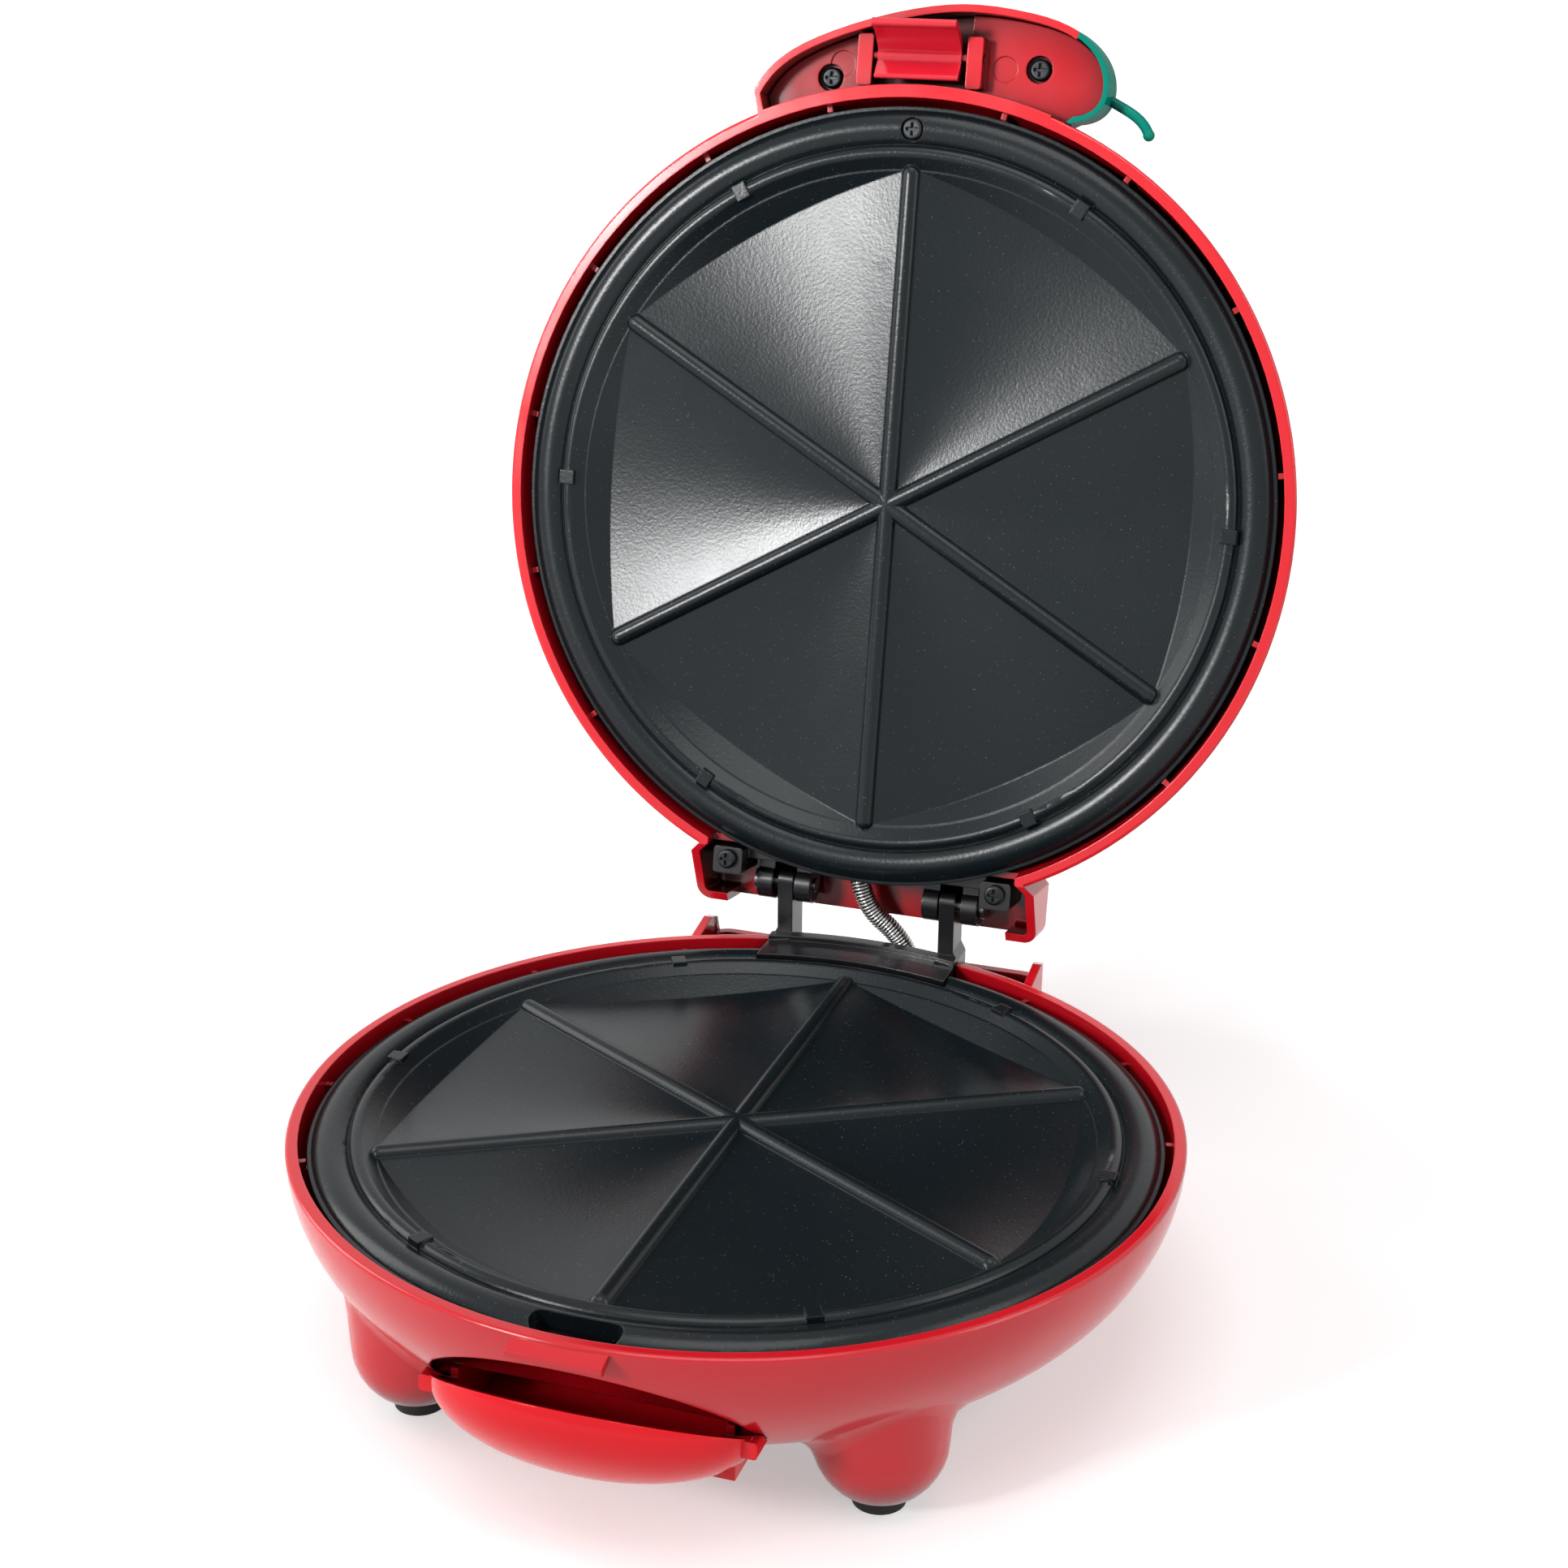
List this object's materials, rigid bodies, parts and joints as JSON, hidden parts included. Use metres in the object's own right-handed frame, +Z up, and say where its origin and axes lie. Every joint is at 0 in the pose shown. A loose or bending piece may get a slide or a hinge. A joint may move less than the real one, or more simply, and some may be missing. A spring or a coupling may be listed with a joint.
{
  "type": "quesadilla maker",
  "caption": "Round countertop quesadilla maker: hinged lid, wedge-pocket plates, pepper-shaped handle with a latch, and a sliding drip tray.",
  "frame": {"origin": "middle of the bounding box on the table top, with the lid standing open", "axes": "+Z up, -Y towards the person using it, +X to their right; the hinge runs along X"},
  "size_m": [0.23, 0.2904, 0.3252],
  "materials": {
    "red_plastic": "gloss",
    "pink_red_plastic": "gloss",
    "handle_red": "satin",
    "pad_rubber": "matt",
    "non_stick_plate": "satin non-stick coating",
    "heater_steel": "oxidised",
    "sheet_steel": "bright sheet",
    "black_screw": "black oxide",
    "pin_steel": "ground",
    "black_plastic": "gloss",
    "white_block": "matt",
    "conduit_steel": "close-wound wire",
    "green_plastic": "gloss",
    "red_lens": "clear",
    "green_lens": "clear"
  },
  "bodies": {
    "base": {"base_housing": "red_plastic", "rubber_feet": "pad_rubber", "lower_plate": "non_stick_plate", "lower_heating_element": "heater_steel", "lower_heat_shield": "sheet_steel", "lower_shield_screws": "black_screw", "lower_thermostat": "black_plastic", "terminal_block": "white_block", "cord_gland": "black_plastic", "hinge_bracket": "black_plastic", "bracket_screws": "black_screw", "hinge_pins": "pin_steel", "conduit_base_bush": "black_plastic", "spring_conduit": "conduit_steel"},
    "tray": {"drip_tray": "red_plastic"},
    "lid": {"lid_housing": "red_plastic", "upper_plate": "non_stick_plate", "upper_plate_screw": "black_screw", "upper_heating_element": "heater_steel", "upper_heat_shield": "sheet_steel", "upper_shield_screws": "black_screw", "upper_thermal_fuse": "sheet_steel", "left_hinge_lug": "black_plastic", "right_hinge_lug": "black_plastic", "hinge_lug_screws": "black_screw", "handle_cover": "handle_red", "handle_screws": "black_screw", "stem_cap": "green_plastic", "conduit_lid_bush": "black_plastic", "power_light": "red_lens", "ready_light": "green_lens", "lamp_holders": "white_block"},
    "latch": {"latch": "pink_red_plastic"}
  },
  "joints": [
    {"name": "lid_hinge", "type": "hinge", "parent": "base", "child": "lid", "pos_m": [0, 0.08935, 0.0745], "axis": [1, 0, 0], "range_deg": [0, 100.2], "deforming": ["spring_conduit"]},
    {"name": "latch_pivot", "type": "hinge", "parent": "lid", "child": "latch", "pos_m": [0, 0.121, 0.31083], "axis": [1, 0, 0], "range_deg": [0, 60]},
    {"name": "tray_slide", "type": "slide", "parent": "base", "child": "tray", "axis": [0, -1, 0], "range_m": [0, 0.04]}
  ]
}
